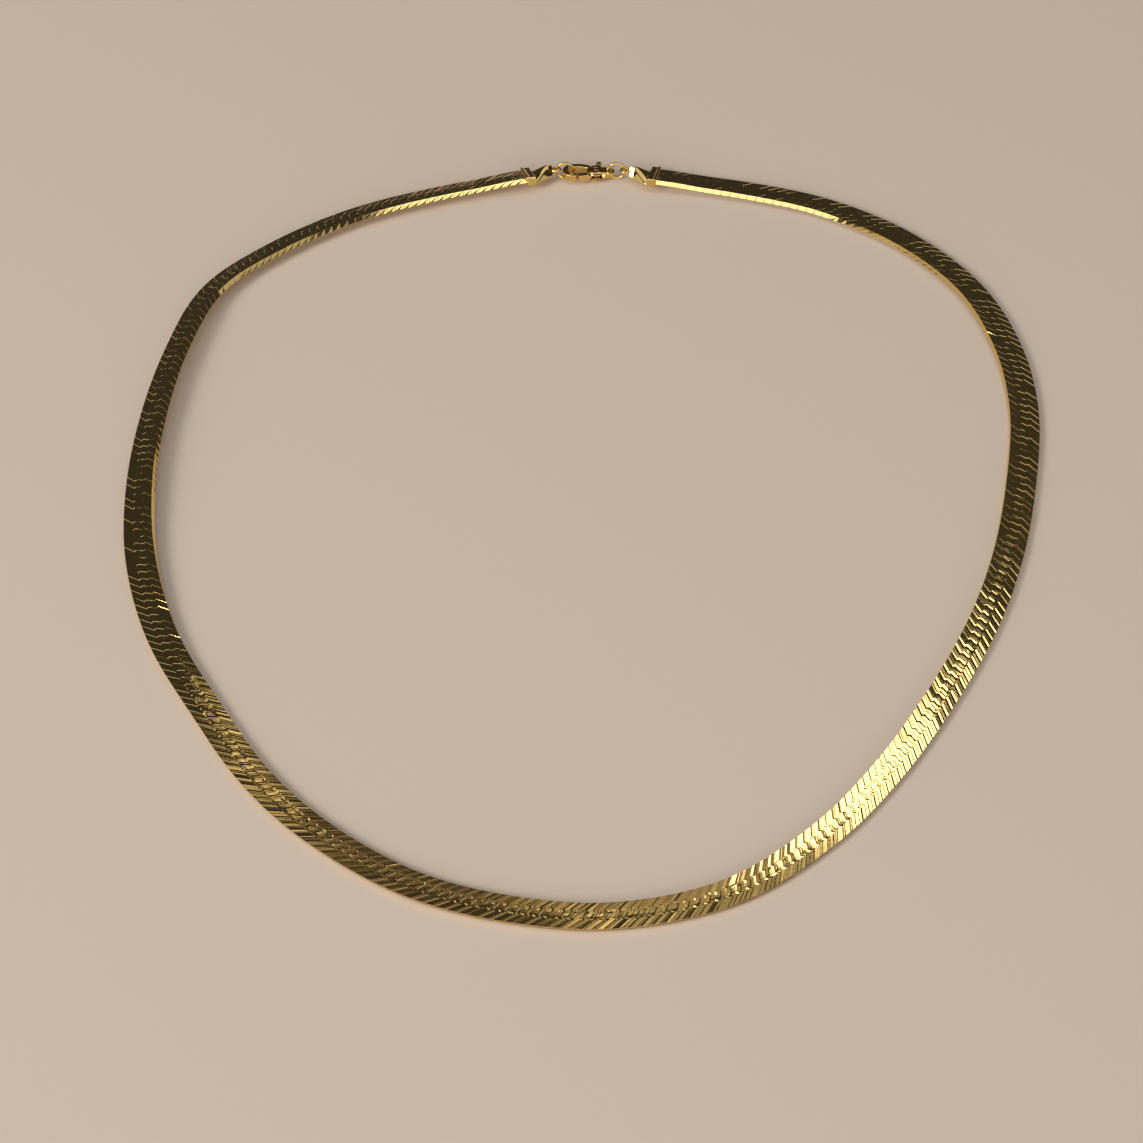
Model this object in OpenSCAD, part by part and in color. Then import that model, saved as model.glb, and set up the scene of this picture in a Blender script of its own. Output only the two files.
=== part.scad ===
// Herringbone chain necklace with a lobster clasp, fastened and laid out on a flat surface.
// Millimetres. +Z is up, the front of the chain is towards -Y and the clasp is at +Y.
// The origin is on the surface, under the middle of the chain's box.

/* [Chain band] */
// Width of the flat chain
band_w = 4.5; // [3:0.1:7]
// Thickness of the flat chain
band_t = 0.8; // [0.6:0.05:1.4]
// Distance from one link to the next
link_pitch = 1.44; // [1.2:0.02:2.4]
// Angle between the flat bars and the run of the chain
bar_angle = 45; // [38:1:60]
// Width of the straight middle, where the two rows of bars meet
middle_w = 1.25; // [0.6:0.05:2]
// Depth of the groove between two links
groove_depth = 0.12; // [0.04:0.01:0.2]
// How far the rounded ends of the links stand out at the edges
scallop = 0.12; // [0.04:0.01:0.2]
// Length over which the band rises from the surface into its end caps
climb_len = 9; // [6:0.5:14]
// Lean of the left end cap, its inner side up
left_lean = 18; // [0:1:22]
// Lean of the right end cap
right_lean = 12; // [0:1:22]

/* [End caps] */
// Length of an end cap's body, from its tip to its collar's rim
cap_len = 4.8; // [4:0.1:7]
// Metal under the band in the cap
cap_floor = 0.2; // [0.15:0.05:0.4]
// Metal beside and above the band in the cap
cap_wall = 0.16; // [0.12:0.02:0.4]
// Width of the cap at its tip
cap_tip_w = 1.7; // [1.4:0.1:2.6]
// Width of the cap's top at its tip, between its two slanted shoulders
cap_crown_w = 0.8; // [0.5:0.1:1.3]
// Height of the cap's top at its tip, above its sole
cap_tip_h = 2.1; // [1.6:0.05:2.4]
// How far the sole rises at the tip
sole_rise = 0.3; // [0:0.05:0.5]
// How much the cap's top swells in the middle of its length
cap_swell = 0.2; // [0:0.05:0.4]
// Length of the raised collar at the band's side
collar_len = 0.45; // [0.3:0.05:0.8]
// How far the collar stands out from the cap
collar_rise = 0.1; // [0.05:0.01:0.2]
// Length of band that is held in the cap
band_grip = 0.9; // [0.7:0.1:1.5]
// Gap round the band in the cap
band_fit = 0.08; // [0.06:0.01:0.15]
// Wire of the loop soldered to the cap
loop_wire = 0.45; // [0.35:0.05:0.7]
// Height of the loop's middle above the cap's sole
loop_h = 1.1; // [0.9:0.05:1.3]
// Spare room in a loop beside the ring that it holds
loop_play = 0.58; // [0.4:0.02:1]

/* [Rings] */
// Wire of the jump ring and of the clasp's ring
ring_wire = 0.42; // [0.35:0.01:0.6]
// Spare room inside a ring round what it holds
ring_play = 0.2; // [0.16:0.02:0.6]

/* [Clasp] */
// Width of the hook's bar, seen from above
hook_w = 0.8; // [0.7:0.02:0.9]
// Height of the hook's bar
hook_h = 1.2; // [1:0.02:1.4]
// Width of the whole clasp
clasp_w = 3.4; // [3.2:0.05:4]
// Height of the clasp's palm
palm_h = 1.6; // [1.4:0.05:1.8]
// Diameter of the clasp's round palm
palm_d = 3.1; // [2.9:0.05:3.3]
// Rim of the eye at the clasp's end
eye_rim = 0.4; // [0.3:0.05:0.5]
// Height of the eye
eye_h = 0.8; // [0.5:0.05:1]

/* [Lever] */
// Distance from the lever's pin to the tip of its gate
gate_reach = 3.18; // [3:0.02:3.8]
// Width of the gate
gate_w = 0.78; // [0.6:0.02:0.9]
// Height of the gate beyond the palm
gate_h = 1.2; // [0.9:0.05:1.3]
// Thickness of the lever in the palm's slot
lever_t = 0.5; // [0.4:0.05:0.6]
// Radius of the lever's round root
root_r = 0.85; // [0.7:0.05:0.9]
// Distance from the pin to the end of the thumb pad
thumb_reach = 2.35; // [2.2:0.05:2.8]
// Width of the thumb pad
thumb_w = 0.9; // [0.7:0.05:1]
// Height of the thumb pad
thumb_h = 1.1; // [0.8:0.05:1.3]
// Width of the stem between the palm and the thumb pad
stem_w = 0.62; // [0.5:0.02:0.7]
// Diameter of the pin
pin_d = 0.7; // [0.5:0.05:0.8]

/* [Hidden] */

// Few chosen points of the chain's run, anticlockwise seen from above, from cap to cap.
// Columns: x, y, and the angle by which the band's inner edge leans up.
ROUTE = [
    [-24, 70.7, 18],
    [-37, 65, 18],
    [-48.5, 56.5, 19],
    [-57, 46.5, 23],
    [-61, 32.5, 29],
    [-63.2, 17, 27],
    [-63.7, 2, 22],
    [-62.3, -13, 12],
    [-58, -28, 4],
    [-51, -41.5, 0],
    [-43, -54.5, 0],
    [-33.5, -64.5, 0],
    [-21.5, -72.5, 0],
    [-8, -76.5, 0],
    [5, -77, 0],
    [18.5, -73, 0],
    [30, -64, 0],
    [39, -53, 0],
    [47, -40, 0],
    [54, -26, 0],
    [59, -12, 0],
    [62.5, 3.5, 0],
    [64.5, 19, 0],
    [63.5, 33.5, 4],
    [59, 47.5, 7],
    [50, 59.5, 6],
    [38, 68, 7],
    [25, 72.5, 9]
];
// Place of the lever's pin, and how far each cap turns away from the clasp's line
CLASP_X = 1.7;
CLASP_Y = 76.6;
LEFT_TURN = 14;
RIGHT_TURN = 12;

// Gold of the chain and of its findings
GOLD = [0.80, 0.64, 0.30];
PALE_GOLD = [0.87, 0.73, 0.40];
DEEP_GOLD = [0.70, 0.54, 0.22];

// Gaps between pieces that lie or run in each other
slot_gap = 0.1;
pin_fit = 0.03;
gate_gap = 0.1;
ring_gap = 0.08;
// Clearance between the gate's swing and the ring that hangs in the hook
swing_gap = 0.16;
// Metal between a loop's bore and its cap's tip
loop_web = 0.1;
// How far the eye is sunk into the neck
eye_sink = 0.3;
// Facets of round shapes, of thin wires and of the gate's long arc
ROUND = 48;
WIRE_ROUND = 24;
GATE_ROUND = 128;

// The rings stand on the surface, and the hook's bar lies low in its ring
ring_bore_r = (hook_w + hook_h) / 2 + ring_play;
ring_r = ring_bore_r + ring_wire / 2;
ring_z = ring_bore_r + ring_wire;
free_r = ring_bore_r - ring_gap;
clasp_z = ring_z + hook_h / 2 - sqrt(free_r ^ 2 - (hook_w / 2) ^ 2);
// Half the length of a flat bar of this height that fits inside the ring at the clasp's height
function reach_in_ring(height) = sqrt(free_r ^ 2 - (ring_z - clasp_z + height / 2) ^ 2);
// Distance from the ring's middle to the outside of its wire beside a bar of this height
function ring_side(height) = sqrt((ring_bore_r + ring_wire) ^ 2 - max(0, ring_z - clasp_z - height / 2) ^ 2);
// Distance from the ring's middle to its wire at a height above the surface
function wire_at(z) = sqrt(ring_r ^ 2 - (z - ring_z) ^ 2);

loop_bore_r = (ring_wire + loop_play) / 2;
loop_r = loop_bore_r + loop_wire / 2;
eye_bore_r = (ring_side(eye_h) + ring_gap - reach_in_ring(eye_h)) / 2;
eye_r = eye_bore_r + eye_rim;

// The cap's sizes, measured from its loop's middle
cap_tip_x = loop_bore_r + loop_web;
cap_end_x = cap_tip_x + cap_len;
pocket_len = band_grip + band_fit;
taper_len = cap_len - pocket_len - cap_wall;
cap_half = band_w / 2 + band_fit + cap_wall;
collar_half = cap_half + collar_rise;
cap_top = cap_floor + band_t + 2 * band_fit + cap_wall;
band_end_x = cap_end_x - band_grip;
band_lift = cap_floor + band_fit;

// A cap leans about its collar's outer bottom edge: how far that edge lies outside the loop's middle
function edge_out(lean) = collar_half * cos(lean) - loop_h * sin(lean);
function loop_z(lean) = collar_half * sin(lean) + loop_h * cos(lean);
// How far the band's run lies outside the cap's middle line, and how high the cap holds the band
function run_out(lean) = band_w / 2 * (cos(lean) - 1) - (loop_h - band_lift) * sin(lean);
function held_z(lean) = (collar_half - band_w / 2) * sin(lean) + band_lift * cos(lean);

// Places along the clasp, measured from the lever's pin
eye_x = palm_d / 2 + eye_r - eye_sink;
jump_ring_x = -(gate_reach + swing_gap + ring_side(gate_h));
hook_reach = hook_w - jump_ring_x - reach_in_ring(hook_h);
left_loop_x = jump_ring_x - wire_at(loop_z(left_lean));
clasp_ring_x = eye_x + eye_bore_r + reach_in_ring(eye_h);
right_loop_x = clasp_ring_x + wire_at(loop_z(right_lean));

// The band's two ends, in the caps' pockets
left_end = [CLASP_X + left_loop_x, CLASP_Y]
    - band_end_x * [cos(LEFT_TURN), sin(LEFT_TURN)]
    + run_out(left_lean) * [-sin(LEFT_TURN), cos(LEFT_TURN)];
right_end = [CLASP_X + right_loop_x, CLASP_Y]
    + band_end_x * [cos(RIGHT_TURN), -sin(RIGHT_TURN)]
    + run_out(right_lean) * [sin(RIGHT_TURN), cos(RIGHT_TURN)];
last = len(ROUTE) - 1;
path = concat(
    [[left_end.x, left_end.y, left_lean]],
    ROUTE,
    [[right_end.x, right_end.y, right_lean]]
);

// Direction and speed of the run at each of its points
function chord(i) = norm([path[i + 1].x - path[i].x, path[i + 1].y - path[i].y]);
left_speed = chord(0) * [-cos(LEFT_TURN), -sin(LEFT_TURN), 0];
right_speed = chord(last + 1) * [-cos(RIGHT_TURN), sin(RIGHT_TURN), 0];
speed = concat(
    [left_speed],
    [for (i = [1:last + 1]) (path[i + 1] - path[i - 1]) / 2],
    [right_speed]
);

// Smooth curve through two points with their speeds
function hermite(a, b, va, vb, k) =
    (2 * k ^ 3 - 3 * k ^ 2 + 1) * a + (k ^ 3 - 2 * k ^ 2 + k) * va
    + (3 * k ^ 2 - 2 * k ^ 3) * b + (k ^ 3 - k ^ 2) * vb;

STEPS = 12;
fine = concat(
    [
        for (i = [0:last + 1])
            for (k = [0:STEPS - 1])
                hermite(path[i], path[i + 1], speed[i], speed[i + 1], k / STEPS)
    ],
    [path[last + 2]]
);
function step_len(i) = norm([fine[i].x - fine[i - 1].x, fine[i].y - fine[i - 1].y]);
function lengths(i = 0, sum = 0, list = []) =
    i == len(fine)
        ? list
        : let (now = i == 0 ? 0 : sum + step_len(i)) lengths(i + 1, now, concat(list, [now]));
run = lengths();
band_len = run[len(run) - 1];
x_table = [for (i = [0:len(fine) - 1]) [run[i], fine[i].x]];
y_table = [for (i = [0:len(fine) - 1]) [run[i], fine[i].y]];
lean_table = [for (i = [0:len(fine) - 1]) [run[i], max(0, fine[i].z)]];

// Middle of the chain's box, which becomes the origin
THUMB_TURN = 75;
back_y = CLASP_Y + (thumb_reach - thumb_w / 2) * sin(THUMB_TURN) + thumb_w / 2;
top_out = [for (p = fine) band_t * sin(max(0, p.z))];
left_x = min([for (i = [0:len(fine) - 1]) fine[i].x - top_out[i]]);
right_x = max([for (i = [0:len(fine) - 1]) fine[i].x + top_out[i]]);
mid_x = (left_x + right_x) / 2;
mid_y = (min([for (p = fine) p.y]) - band_w / 2 + back_y) / 2;

// 0 below 0 and 1 above 1, smooth between them
function ease(k) = let (c = max(0, min(1, k))) c * c * (3 - 2 * c);
// The band stays straight this many times the length that its cap holds, then comes down
STRAIGHT_GRIPS = 1.5;
straight_len = STRAIGHT_GRIPS * band_grip;
function free_share(s) = ease((min(s, band_len - s) - straight_len) / climb_len);
function held(s) = held_z(s < band_len / 2 ? left_lean : right_lean) * (1 - free_share(s));

// Point of the band at s along the run, u across it from its outer edge, v above its underside
function spot(s, u, v) =
    let (
        here = [lookup(s, x_table), lookup(s, y_table)],
        ahead = [lookup(s + link_pitch / 2, x_table), lookup(s + link_pitch / 2, y_table)],
        behind = [lookup(s - link_pitch / 2, x_table), lookup(s - link_pitch / 2, y_table)],
        along = (ahead - behind) / norm(ahead - behind),
        inward = [-along.y, along.x],
        lean = lookup(s, lean_table),
        across = u * cos(lean) - v * sin(lean) - band_w / 2,
        place = here + across * inward
    )
    [place.x - mid_x, place.y - mid_y, u * sin(lean) + v * cos(lean) + held(s)];

// The links' bars slant outside the middle strip: how far along the run a line lies at u
slant = (band_w - middle_w) / 2 / tan(bar_angle);
// The slant fades out towards the band's two square ends, over this many slants
FADE_SLANTS = 2.5;
fade_len = FADE_SLANTS * slant;
function square_end(s) = ease(min(s, band_len - s) / fade_len);

link_count = round(band_len / link_pitch);
pitch = band_len / link_count;
// Each link has a low ring at its start and a full one at this share of its length
CREST = 0.72;
// The ring's corners: u, v and which way the line is shifted there
function ring_corners(low) =
    let (
        edge = low ? scallop : 0,
        top = low ? band_t - groove_depth : band_t
    )
    [
        [edge, 0, -1],
        [band_w - edge, 0, 1],
        [band_w - edge, top, 1],
        [(band_w + middle_w) / 2, top, 0],
        [(band_w - middle_w) / 2, top, 0],
        [edge, top, -1]
    ];
SIDES = len(ring_corners(true));
function ring_points(s, low) =
    [for (p = ring_corners(low)) spot(s + p.z * slant * square_end(s), p.x, p.y)];
ring_places = concat(
    [for (i = [0:link_count - 1]) for (k = [0, CREST]) [(i + k) * pitch, k == 0]],
    [[band_len, true]]
);
band_points = [for (r = ring_places) for (p = ring_points(r.x, r.y)) p];
ring_total = len(ring_places);

module herringbone_band() {
    color(GOLD)
        polyhedron(
            points = band_points,
            faces = concat(
                [[for (k = [0:SIDES - 1]) SIDES - 1 - k]],
                [[for (k = [0:SIDES - 1]) (ring_total - 1) * SIDES + k]],
                [
                    for (i = [0:ring_total - 2])
                        for (k = [0:SIDES - 1])
                            let (
                                a = i * SIDES + k,
                                b = i * SIDES + (k + 1) % SIDES,
                                c = a + SIDES,
                                d = b + SIDES
                            )
                            each [[a, b, d], [a, d, c]]
                ]
            ),
            convexity = 10
        );
}

// The cap widens from its tip to its pocket: 0 at the tip and 1 at the pocket
CAP_STEPS = 16;
taper_shares = [for (i = [0:CAP_STEPS]) i / CAP_STEPS];
function cap_share(k) = (1 - cos(180 * k)) / 2;
function cap_x(k) = -cap_tip_x - k * taper_len;
function cap_side(k) = cap_tip_w / 2 + (cap_half - cap_tip_w / 2) * cap_share(k);
function cap_roof(k) =
    cap_tip_h * (1 - cap_share(k)) + cap_top * cap_share(k) + cap_swell * sin(180 * k);
// Share of the taper along which the sole rises to the tip
SOLE_SHARE = 0.5;
function cap_sole(k) = sole_rise * (1 - ease(k / SOLE_SHARE));

module cap_plan() {
    half = concat([for (k = taper_shares) [cap_x(k), cap_side(k)]], [[-cap_end_x, cap_half]]);
    polygon(concat(half, [for (i = [len(half) - 1:-1:0]) [half[i].x, -half[i].y]]));
}

module cap_profile() {
    sole_steps = round(CAP_STEPS * SOLE_SHARE);
    polygon(concat(
        [for (k = taper_shares) [cap_x(k), cap_roof(k)]],
        [[-cap_end_x, cap_top], [-cap_end_x, 0]],
        [for (i = [sole_steps:-1:0]) [cap_x(i / CAP_STEPS), cap_sole(i / CAP_STEPS)]]
    ));
}

// What is cut off above one slanted shoulder, from the pocket's corner to the crown at the tip
SHOULDER_SLOPE = 28;
module shoulder_cut() {
    turn = atan2(cap_half - cap_crown_w / 2, taper_len);
    translate([-cap_tip_x, cap_crown_w / 2, cap_top])
        rotate(-turn)
            rotate([SHOULDER_SLOPE, 0, 0])
                translate([-2 * cap_len, 0, -2 * cap_top]) cube([4 * cap_len, cap_half, 4 * cap_top]);
}

// An end cap on its sole, whose loop's middle is over the origin, with the band on its -X side
module end_cap() {
    difference() {
        union() {
            difference() {
                intersection() {
                    linear_extrude(2 * cap_len) cap_plan();
                    rotate([90, 0, 0])
                        translate([0, 0, -band_w]) linear_extrude(2 * band_w) cap_profile();
                }
                shoulder_cut();
                mirror([0, 1, 0]) shoulder_cut();
            }
            translate([-cap_end_x, -collar_half, 0])
                cube([collar_len, 2 * collar_half, cap_top + collar_rise]);
            translate([0, 0, loop_h])
                rotate_extrude($fn = ROUND) translate([loop_r, 0]) circle(d = loop_wire, $fn = WIRE_ROUND);
        }
        translate([-cap_end_x - cap_wall, -band_w / 2 - band_fit, cap_floor])
            cube([cap_wall + pocket_len, band_w + 2 * band_fit, band_t + 2 * band_fit]);
    }
}

module leaned(lean) {
    translate([0, edge_out(lean), 0]) rotate([-lean, 0, 0]) translate([0, -collar_half, 0]) children();
}

module at_clasp(x) {
    translate([CLASP_X + x - mid_x, CLASP_Y - mid_y, 0]) children();
}

module end_cap_left() {
    color(PALE_GOLD) at_clasp(left_loop_x) rotate(LEFT_TURN) leaned(left_lean) end_cap();
}

module end_cap_right() {
    color(PALE_GOLD)
        at_clasp(right_loop_x) rotate(-RIGHT_TURN) mirror([1, 0, 0]) leaned(right_lean) end_cap();
}

// A round ring that stands upright on the surface, seen full from the front
module upright_ring(x) {
    at_clasp(x)
        translate([0, 0, ring_z])
            rotate([90, 0, 0])
                rotate_extrude($fn = ROUND) translate([ring_r, 0]) circle(d = ring_wire, $fn = WIRE_ROUND);
}

module jump_ring() {
    color(GOLD) upright_ring(jump_ring_x);
}

module clasp_ring() {
    color(GOLD) upright_ring(clasp_ring_x);
}

// The hook's bar follows two arcs: a long one along the far side and a tight one round its end
hook_b = (clasp_w - hook_w) / 2;
BEND_SHARE = 0.92;
bend_r = BEND_SHARE * hook_b;
bend_x = -hook_reach + hook_w / 2 + bend_r;
// The long arc meets the tight one in this direction from the tight arc's centre
MEET_TURN = 105;
side_r = (hook_b - bend_r * sin(MEET_TURN)) / (1 - sin(MEET_TURN));
side_x = bend_x - (side_r - bend_r) * cos(MEET_TURN);
side_y = -(side_r - bend_r) * sin(MEET_TURN);
// The long arc starts inside the palm, in this direction from its own centre
SIDE_START = 55;
// The hook's round tip stops clear of the gate's swing
tip_reach = gate_reach + gate_gap + hook_w / 2;
tip_turn = 360 - acos((tip_reach ^ 2 - bend_x ^ 2 - bend_r ^ 2) / (2 * bend_x * bend_r));

// Points along the hook's arcs, and the turn left free where one arc meets the next
SIDE_STEPS = 12;
BEND_STEPS = 20;
JOIN_STEP = 4;
function arc(x, y, r, from, to, count) =
    [for (i = [0:count]) let (t = from + (to - from) * i / count) [x + r * cos(t), y + r * sin(t)]];

// The hook seen from above: along its outer side, round its tip and back along its inner side
module hook_plan() {
    half = hook_w / 2;
    side_end = MEET_TURN - JOIN_STEP;
    bend_end = tip_turn - JOIN_STEP;
    tip_x = bend_x + bend_r * cos(tip_turn);
    tip_y = bend_r * sin(tip_turn);
    polygon(concat(
        arc(side_x, side_y, side_r + half, SIDE_START, side_end, SIDE_STEPS),
        arc(bend_x, 0, bend_r + half, MEET_TURN, bend_end, BEND_STEPS),
        arc(tip_x, tip_y, half, tip_turn, tip_turn + 180, SIDE_STEPS),
        arc(bend_x, 0, bend_r - half, bend_end, MEET_TURN, BEND_STEPS),
        arc(side_x, side_y, side_r - half, side_end, SIDE_START, SIDE_STEPS)
    ));
}

// Solid between two heights about the clasp's middle plane
module slab(height) {
    translate([0, 0, -height / 2]) linear_extrude(height) children();
}

// The slot runs out past the palm's rim, and stops at a wedge of metal towards the eye
slot_r = palm_d / 2 + slot_gap;
slot_h = lever_t + 2 * slot_gap;
wedge_x = root_r + slot_gap + pin_fit;
WEDGE_TURN = 27;

// The palm is a round disc with a full round rim
module palm() {
    flat_r = (palm_d - palm_h) / 2;
    rotate_extrude($fn = ROUND) {
        translate([0, -palm_h / 2]) square([flat_r, palm_h]);
        intersection() {
            translate([flat_r, 0]) circle(d = palm_h, $fn = ROUND);
            translate([0, -palm_h]) square([palm_d, 2 * palm_h]);
        }
    }
}

// The neck joins the palm to the eye, narrowing towards it
module neck() {
    start_x = palm_d / 4;
    start_half = palm_d / 4 + slot_gap;
    end_half = (eye_bore_r + eye_r) / 2;
    slab((palm_h + eye_h) / 2)
        polygon([[start_x, -start_half], [eye_x, -end_half], [eye_x, end_half], [start_x, start_half]]);
}

// The slot that the lever turns in
module slot_plan() {
    far_x = 2 * slot_r;
    difference() {
        circle(r = slot_r, $fn = ROUND);
        polygon([
            [wedge_x, -wedge_x * tan(WEDGE_TURN)], [far_x, -far_x * tan(WEDGE_TURN)],
            [far_x, far_x * tan(WEDGE_TURN)], [wedge_x, wedge_x * tan(WEDGE_TURN)]
        ]);
    }
}

// Bore that runs through the whole clasp
module bore(d) {
    cylinder(d = d, h = 2 * palm_h, center = true, $fn = ROUND);
}

module clasp_body() {
    color(PALE_GOLD)
        at_clasp(0)
            translate([0, 0, clasp_z])
                difference() {
                    union() {
                        slab(hook_h) hook_plan();
                        palm();
                        neck();
                        slab(eye_h) translate([eye_x, 0]) circle(r = eye_r, $fn = ROUND);
                    }
                    slab(slot_h) slot_plan();
                    bore(pin_d + 2 * pin_fit);
                    translate([eye_x, 0, 0]) bore(2 * eye_bore_r);
                }
}

// The gate follows the hook's long arc on the near side, from the palm to the hook's tip
module gate_plan() {
    intersection() {
        translate([side_x, -side_y])
            difference() {
                circle(r = side_r + gate_w / 2, $fn = GATE_ROUND);
                circle(r = side_r - gate_w / 2, $fn = GATE_ROUND);
            }
        circle(r = gate_reach, $fn = GATE_ROUND);
        translate([-gate_reach, -clasp_w]) square([gate_reach, clasp_w]);
    }
}

// The thumb pad stands out beyond the palm on the far side, on a narrower stem
module thumb_plan(from, width) {
    rotate(THUMB_TURN) {
        translate([from, -width / 2]) square([thumb_reach - width / 2 - from, width]);
        translate([thumb_reach - width / 2, 0]) circle(d = width, $fn = ROUND);
    }
}

// What lies outside the slot
module outside_slot() {
    difference() {
        children();
        circle(r = slot_r, $fn = ROUND);
    }
}

module clasp_lever() {
    color(GOLD)
        at_clasp(0)
            translate([0, 0, clasp_z])
                difference() {
                    union() {
                        slab(lever_t) {
                            circle(r = root_r, $fn = ROUND);
                            gate_plan();
                            thumb_plan(0, stem_w);
                        }
                        slab(gate_h) outside_slot() gate_plan();
                        slab(thumb_h) outside_slot() thumb_plan(palm_d / 2, thumb_w);
                    }
                    bore(pin_d + 2 * pin_fit);
                }
}

// The pin's ends stand out a little from the palm
module lever_pin() {
    color(DEEP_GOLD)
        at_clasp(0)
            translate([0, 0, clasp_z])
                cylinder(d = pin_d, h = palm_h + slot_gap, center = true, $fn = ROUND);
}

herringbone_band();
end_cap_left();
end_cap_right();
jump_ring();
clasp_ring();
clasp_body();
clasp_lever();
lever_pin();
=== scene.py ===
"""A gold herringbone chain with a lobster clasp, laid out on a pale board."""
import math
import random

import bpy
import numpy as np
from mathutils import Matrix, Vector


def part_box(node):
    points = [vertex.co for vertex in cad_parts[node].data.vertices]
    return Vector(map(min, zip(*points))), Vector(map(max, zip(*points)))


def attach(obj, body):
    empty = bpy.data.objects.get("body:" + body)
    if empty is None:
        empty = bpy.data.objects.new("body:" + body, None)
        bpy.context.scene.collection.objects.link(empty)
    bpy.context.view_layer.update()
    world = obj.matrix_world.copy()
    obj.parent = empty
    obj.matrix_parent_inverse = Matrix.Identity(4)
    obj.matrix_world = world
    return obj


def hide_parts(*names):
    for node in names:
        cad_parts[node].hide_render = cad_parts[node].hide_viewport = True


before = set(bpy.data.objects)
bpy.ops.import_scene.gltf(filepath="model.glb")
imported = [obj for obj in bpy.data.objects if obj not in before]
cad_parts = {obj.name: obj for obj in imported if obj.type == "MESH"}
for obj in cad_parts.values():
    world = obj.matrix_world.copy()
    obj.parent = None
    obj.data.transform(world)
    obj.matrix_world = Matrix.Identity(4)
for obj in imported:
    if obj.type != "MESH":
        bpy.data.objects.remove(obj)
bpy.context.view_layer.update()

# Pieces are modelled in millimetres, and brought to metres when they are done
MM = 0.001
# Points closer than this, in millimetres, count as one place
NEAR = 1e-3
dice = random.Random(7)

# The woven band's sizes, as its solid has them
BAND_W = 4.5
BAND_T = 0.8
LINK_PITCH = 1.44
# A bar's halves slant from square by the first angle, and its middle slants back by the second
BAR_ANGLE = math.radians(49)
NOSE_ANGLE = math.radians(35)
MIDDLE_W = 1.1
CORNER_SOFTNESS = 0.16
# The band leaves its caps straight, and then comes down to the board over the second length
STRAIGHT_LEN = 1.35
CLIMB_LEN = 9

# Middle of the chain's box, and the band's two ends: x, y, lean in degrees
MIDDLE = (0.242, -0.3305)
LEFT_END = (-8.93, 75.159, 18)
RIGHT_END = (10.815, 75.45, 12)
LEFT_TURN = math.radians(14)
RIGHT_TURN = math.radians(12)
# Height at which each cap holds its end of the band
LEFT_HELD = 0.371
RIGHT_HELD = 0.345

# A few chosen points of the chain's run, anticlockwise seen from above: x, y, lean in degrees
ROUTE = [
    (-24, 70.7, 18),
    (-37, 65, 18),
    (-48.5, 56.5, 19),
    (-57, 46.5, 23),
    (-61, 32.5, 29),
    (-63.2, 17, 27),
    (-63.7, 2, 22),
    (-62.3, -13, 12),
    (-58, -28, 4),
    (-51, -41.5, 0),
    (-43, -54.5, 0),
    (-33.5, -64.5, 0),
    (-21.5, -72.5, 0),
    (-8, -76.5, 0),
    (5, -77, 0),
    (18.5, -73, 0),
    (30, -64, 0),
    (39, -53, 0),
    (47, -40, 0),
    (54, -26, 0),
    (59, -12, 0),
    (62.5, 3.5, 0),
    (64.5, 19, 0),
    (63.5, 33.5, 4),
    (59, 47.5, 7),
    (50, 59.5, 6),
    (38, 68, 7),
    (25, 72.5, 9),
]
# Steps of the smooth curve between two chosen points
RUN_STEPS = 12

# Camera: 44 degrees below the horizon, from in front of the chain
CAMERA_PLACE = (-2.45, -326.34, 301.46)
CAMERA_TILT = math.radians(44)
SENSOR_W = 36
PHOTO_W = 1143
FOCAL_PIXELS = 3100


def add_camera():
    data = bpy.data.cameras.new("camera")
    data.sensor_width = SENSOR_W
    data.lens = FOCAL_PIXELS / PHOTO_W * SENSOR_W
    data.clip_start = 0.01
    camera = bpy.data.objects.new("camera", data)
    camera.location = Vector(CAMERA_PLACE) * MM
    camera.rotation_euler = (math.pi / 2 - CAMERA_TILT, 0, 0)
    bpy.context.scene.collection.objects.link(camera)
    bpy.context.scene.camera = camera


add_camera()


# Helpers for modelling as by hand

def only(obj):
    """Selects one object alone and makes it the active one."""
    bpy.ops.object.select_all(action="DESELECT")
    obj.select_set(True)
    bpy.context.view_layer.objects.active = obj


def pick(obj, test, kind="VERT"):
    """Goes into edit mode with the vertices, edges or faces selected that pass the test.

    A vertex is tested by its place, an edge by its two ends, and a face by its normal and centre."""
    only(obj)
    bpy.ops.object.mode_set(mode="EDIT")
    bpy.ops.mesh.select_mode(type=kind)
    bpy.ops.mesh.select_all(action="DESELECT")
    bpy.ops.object.mode_set(mode="OBJECT")
    mesh = obj.data
    if kind == "VERT":
        for vertex in mesh.vertices:
            vertex.select = test(vertex.co)
    elif kind == "EDGE":
        for edge in mesh.edges:
            edge.select = test(*(mesh.vertices[i].co for i in edge.vertices))
    else:
        for face in mesh.polygons:
            face.select = test(face.normal, face.center)
    bpy.ops.object.mode_set(mode="EDIT")


def pick_all(obj):
    only(obj)
    bpy.ops.object.mode_set(mode="EDIT")
    bpy.ops.mesh.select_mode(type="VERT")
    bpy.ops.mesh.select_all(action="SELECT")


def done():
    bpy.ops.object.mode_set(mode="OBJECT")


def move(obj, test, by):
    pick(obj, test)
    bpy.ops.transform.translate(value=by)
    done()


def cut(obj, place, normal, test=None, **options):
    """Cuts the mesh by a plane, or only the faces whose corners pass the test."""
    pick(obj, test or (lambda p: True))
    bpy.ops.mesh.bisect(plane_co=place, plane_no=normal, threshold=1e-5, **options)
    done()


def modify(obj, kind, **settings):
    """Adds a modifier with its settings and applies it."""
    only(obj)
    modifier = obj.modifiers.new(kind.lower(), kind)
    for name, value in settings.items():
        setattr(modifier, name, value)
    bpy.ops.object.modifier_apply(modifier=modifier.name)


def to_metres(obj):
    obj.data.transform(Matrix.Scale(MM, 4))
    obj.data.update()


def smooth(obj, degrees):
    only(obj)
    bpy.ops.object.shade_smooth_by_angle(angle=math.radians(degrees))


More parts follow.
